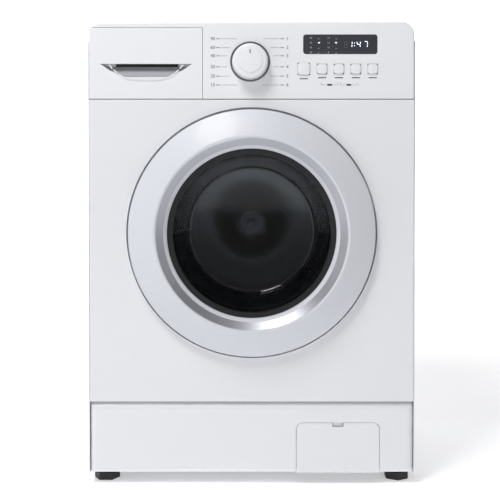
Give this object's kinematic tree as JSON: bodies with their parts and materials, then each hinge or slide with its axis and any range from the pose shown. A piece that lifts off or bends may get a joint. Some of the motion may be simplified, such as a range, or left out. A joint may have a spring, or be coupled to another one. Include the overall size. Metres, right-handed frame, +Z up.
{
  "type": "front load washing machine",
  "caption": "Front-load washing machine with a round porthole door, a fascia with a knob, display and buttons, a detergent drawer and a filter flap.",
  "frame": {"origin": "on the floor, under the middle of the bounding box", "axes": "+Z up, the front faces -Y, +X to the right of a person facing the front"},
  "size_m": [0.597, 0.541, 0.848],
  "materials": {
    "white_enamel": "gloss",
    "inner_steel": "matte",
    "white_plastic": "satin",
    "warm_plastic": "satin",
    "dark_plastic": "matte",
    "grey_plastic": "matte",
    "knob_ring_grey": "satin",
    "window_grey": "gloss",
    "board_green": "matte",
    "clear_glass": "clear",
    "bright_steel": "brushed",
    "zinc": "satin",
    "grey_rubber": "matte",
    "black_rubber": "matte",
    "concrete": "rough",
    "cast_alloy": "cast",
    "blue_plastic": "satin"
  },
  "bodies": {
    "cabinet": {"cabinet_shell": "white_enamel", "front_panel": "white_enamel", "top_cover": "white_plastic", "kick_panel": "white_plastic", "base_frame": "grey_plastic", "foot_lock_nuts": "zinc", "back_panel": "white_enamel", "cabinet_screws": "zinc", "control_fascia": "white_plastic", "display_lens": "window_grey", "control_board": "board_green", "knob_ring": "knob_ring_grey", "dispenser_housing": "warm_plastic", "door_hinge_bracket": "zinc", "door_lock": "dark_plastic", "door_gasket": "grey_rubber", "tub_front": "warm_plastic", "tub_rear": "warm_plastic", "counterweights": "concrete", "heater": "bright_steel", "drum_bearings": "bright_steel", "drive_motor": "zinc", "drive_belt": "black_rubber", "suspension_springs": "zinc", "damper_cylinders": "dark_plastic", "damper_rods": "grey_plastic", "inlet_valve": "white_plastic", "inlet_hose": "grey_rubber", "dispenser_hose": "black_rubber", "drain_pump": "warm_plastic", "sump_hose": "black_rubber", "drain_hose": "grey_rubber", "drain_outlet": "dark_plastic"},
    "drum": {"drum_shell": "bright_steel", "drum_back": "bright_steel", "drum_lifters": "warm_plastic", "drum_spider": "cast_alloy", "drum_pulley": "cast_alloy"},
    "motor_pulley": {"motor_pulley": "zinc"},
    "door": {"door_frame": "white_plastic", "door_inner_frame": "warm_plastic", "door_glass": "clear_glass", "door_grip": "grey_plastic", "door_hinge_leaf": "zinc"},
    "latch_hook": {"latch_hook": "zinc"},
    "drawer": {"drawer_front": "white_plastic", "drawer_tray": "warm_plastic", "siphon_cap": "blue_plastic"},
    "program_knob": {"program_knob": "white_plastic"},
    "filter_flap": {"filter_flap": "white_plastic"},
    "pump_filter": {"pump_filter": "warm_plastic"},
    "start_button": {"start_button": "white_plastic"},
    "temperature_button": {"temperature_button": "white_plastic"},
    "spin_button": {"spin_button": "white_plastic"},
    "delay_button": {"delay_button": "white_plastic"},
    "power_button": {"power_button": "white_plastic"},
    "foot_front_left": {"foot_front_left": "black_rubber"},
    "foot_front_right": {"foot_front_right": "black_rubber"},
    "foot_rear_left": {"foot_rear_left": "black_rubber"},
    "foot_rear_right": {"foot_rear_right": "black_rubber"}
  },
  "joints": [
    {"name": "door_swing", "type": "hinge", "parent": "cabinet", "child": "door", "pos_m": [-0.205, -0.245, 0.463], "axis": [0, 0, -1], "range_deg": [0, 110]},
    {"name": "latch_turn", "type": "hinge", "parent": "door", "child": "latch_hook", "pos_m": [0.193, -0.2385, 0.463], "axis": [0, 0, 1], "range_deg": [0, 8], "stiffness_Nm_per_rad": 0.6},
    {"name": "drawer_slide", "type": "slide", "parent": "cabinet", "child": "drawer", "axis": [0, -1, 0], "range_m": [0, 0.15]},
    {"name": "knob_turn", "type": "hinge", "parent": "cabinet", "child": "program_knob", "pos_m": [-0.003, -0.2325, 0.7755], "axis": [0, -1, 0], "continuous": true},
    {"name": "drum_spin", "type": "hinge", "parent": "cabinet", "child": "drum", "pos_m": [0, 0, 0.463], "axis": [0, -1, 0], "continuous": true},
    {"name": "motor_spin", "type": "hinge", "parent": "cabinet", "child": "motor_pulley", "pos_m": [0, 0.2035, 0.125], "axis": [0, -1, 0], "continuous": true},
    {"name": "flap_tip", "type": "hinge", "parent": "cabinet", "child": "filter_flap", "pos_m": [0.158, -0.2265, 0.0275], "axis": [1, 0, 0], "range_deg": [0, 60]},
    {"name": "filter_turn", "type": "hinge", "parent": "cabinet", "child": "pump_filter", "pos_m": [0.158, -0.19, 0.068], "axis": [0, -1, 0], "range_deg": [0, 90]},
    {"name": "start_button_press", "type": "slide", "parent": "cabinet", "child": "start_button", "axis": [0, 1, 0], "range_m": [0, 0.0015], "stiffness_N_per_m": 400},
    {"name": "temperature_button_press", "type": "slide", "parent": "cabinet", "child": "temperature_button", "axis": [0, 1, 0], "range_m": [0, 0.0015], "stiffness_N_per_m": 400},
    {"name": "spin_button_press", "type": "slide", "parent": "cabinet", "child": "spin_button", "axis": [0, 1, 0], "range_m": [0, 0.0015], "stiffness_N_per_m": 400},
    {"name": "delay_button_press", "type": "slide", "parent": "cabinet", "child": "delay_button", "axis": [0, 1, 0], "range_m": [0, 0.0015], "stiffness_N_per_m": 400},
    {"name": "power_button_press", "type": "slide", "parent": "cabinet", "child": "power_button", "axis": [0, 1, 0], "range_m": [0, 0.0015], "stiffness_N_per_m": 400},
    {"name": "foot_front_left_adjust", "type": "slide", "parent": "cabinet", "child": "foot_front_left", "axis": [0, 0, 1], "range_m": [-0.008, 0.001]},
    {"name": "foot_front_right_adjust", "type": "slide", "parent": "cabinet", "child": "foot_front_right", "axis": [0, 0, 1], "range_m": [-0.008, 0.001]},
    {"name": "foot_rear_left_adjust", "type": "slide", "parent": "cabinet", "child": "foot_rear_left", "axis": [0, 0, 1], "range_m": [-0.008, 0.001]},
    {"name": "foot_rear_right_adjust", "type": "slide", "parent": "cabinet", "child": "foot_rear_right", "axis": [0, 0, 1], "range_m": [-0.008, 0.001]}
  ],
  "couplings": [
    {"joint": "motor_spin", "follows": "drum_spin", "ratio": 14}
  ]
}
